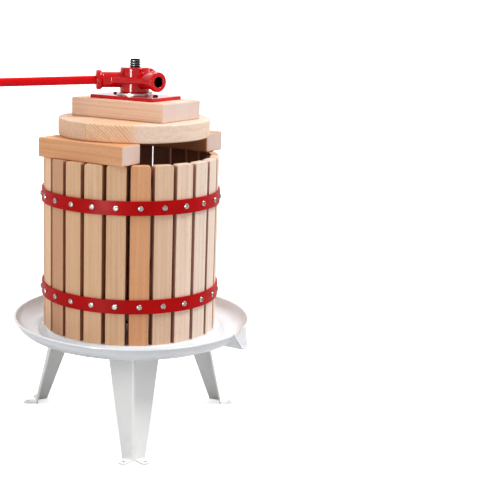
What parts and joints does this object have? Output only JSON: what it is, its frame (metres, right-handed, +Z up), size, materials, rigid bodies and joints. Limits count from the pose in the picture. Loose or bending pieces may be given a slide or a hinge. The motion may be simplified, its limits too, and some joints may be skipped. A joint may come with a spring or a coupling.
{
  "type": "fruit press",
  "caption": "Tripod fruit press: slatted beech basket in red hoops, white spouted tray, threaded spindle, press blocks, three-socket nut and turning bar.",
  "frame": {"origin": "on the spindle's axis at floor level, midway between the three legs", "axes": "+Z up along the spindle, -Y the front where one leg stands, +X to the right when seen from the front"},
  "size_m": [0.689, 0.4367, 0.6685],
  "materials": {
    "tray_enamel": "glossy white enamel",
    "leg_paint": "satin pale grey-white paint",
    "zinc_steel": "bright zinc plate",
    "spindle_steel": "dark oiled steel thread",
    "dark_steel": "blackened steel",
    "washer_steel": "bright plated steel",
    "seal_rubber": "black rubber",
    "stave_beech": "planed beech",
    "beam_beech": "planed beech",
    "disc_beech": "planed beech, end grain on the rim",
    "block_beech": "planed beech",
    "red_hoop": "gloss red paint",
    "red_plate": "gloss red paint",
    "red_casting": "gloss red enamel",
    "red_bar": "gloss red paint"
  },
  "bodies": {
    "stand": {"juice_tray": "tray_enamel", "base_dish": "leg_paint", "leg_front": "leg_paint", "leg_left": "leg_paint", "leg_right": "leg_paint", "leg_bolts": "zinc_steel", "leg_nuts": "zinc_steel", "spindle": "spindle_steel", "tray_seal": "seal_rubber", "spindle_clamp_nut": "zinc_steel", "spindle_base_nut": "zinc_steel"},
    "basket": {"stave_01": "stave_beech", "stave_02": "stave_beech", "stave_03": "stave_beech", "stave_04": "stave_beech", "stave_05": "stave_beech", "stave_06": "stave_beech", "stave_07": "stave_beech", "stave_08": "stave_beech", "stave_09": "stave_beech", "stave_10": "stave_beech", "stave_11": "stave_beech", "stave_12": "stave_beech", "stave_13": "stave_beech", "stave_14": "stave_beech", "stave_15": "stave_beech", "stave_16": "stave_beech", "stave_17": "stave_beech", "stave_18": "stave_beech", "stave_19": "stave_beech", "stave_20": "stave_beech", "stave_21": "stave_beech", "stave_22": "stave_beech", "stave_23": "stave_beech", "stave_24": "stave_beech", "hoop_lower": "red_hoop", "hoop_upper": "red_hoop", "hoop_screws_lower": "zinc_steel", "hoop_screws_upper": "zinc_steel"},
    "front_beam": {"beam_front": "beam_beech"},
    "back_beam": {"beam_back": "beam_beech"},
    "left_disc": {"disc_half_left": "disc_beech"},
    "right_disc": {"disc_half_right": "disc_beech"},
    "block": {"pressure_block": "block_beech", "pressure_plate": "red_plate", "plate_screws": "dark_steel"},
    "washer": {"thrust_washer": "washer_steel"},
    "nut": {"press_nut": "red_casting"},
    "bar": {"handle_bar": "red_bar"}
  },
  "joints": [
    {"name": "basket_lift", "type": "slide", "parent": "stand", "child": "basket", "axis": [0, 0, 1], "range_m": [0, 0.49]},
    {"name": "front_beam_slide", "type": "slide", "parent": "basket", "child": "front_beam", "axis": [-0.6388, -0.7694, 0], "range_m": [0, 0.2]},
    {"name": "back_beam_slide", "type": "slide", "parent": "basket", "child": "back_beam", "axis": [0.6388, 0.7694, 0], "range_m": [0, 0.2]},
    {"name": "left_disc_slide", "type": "slide", "parent": "basket", "child": "left_disc", "axis": [-0.7694, 0.6388, 0], "range_m": [0, 0.3]},
    {"name": "right_disc_slide", "type": "slide", "parent": "basket", "child": "right_disc", "axis": [0.7694, -0.6388, 0], "range_m": [0, 0.3]},
    {"name": "block_lift", "type": "slide", "parent": "basket", "child": "block", "axis": [0, 0, 1], "range_m": [0, 0.11]},
    {"name": "nut_travel", "type": "slide", "parent": "block", "child": "washer", "axis": [0, 0, 1], "range_m": [0, 0.0591]},
    {"name": "nut_turn", "type": "hinge", "parent": "washer", "child": "nut", "pos_m": [0, 0, 0.61], "axis": [0, 0, 1], "range_deg": [0, 5310]},
    {"name": "bar_slide", "type": "slide", "parent": "nut", "child": "bar", "axis": [-0.9959, -0.0854, -0.0314], "range_m": [0, 0.06]}
  ],
  "couplings": [
    {"joint": "nut_travel", "follows": "nut_turn", "m_per_rad": 0.00063662}
  ]
}
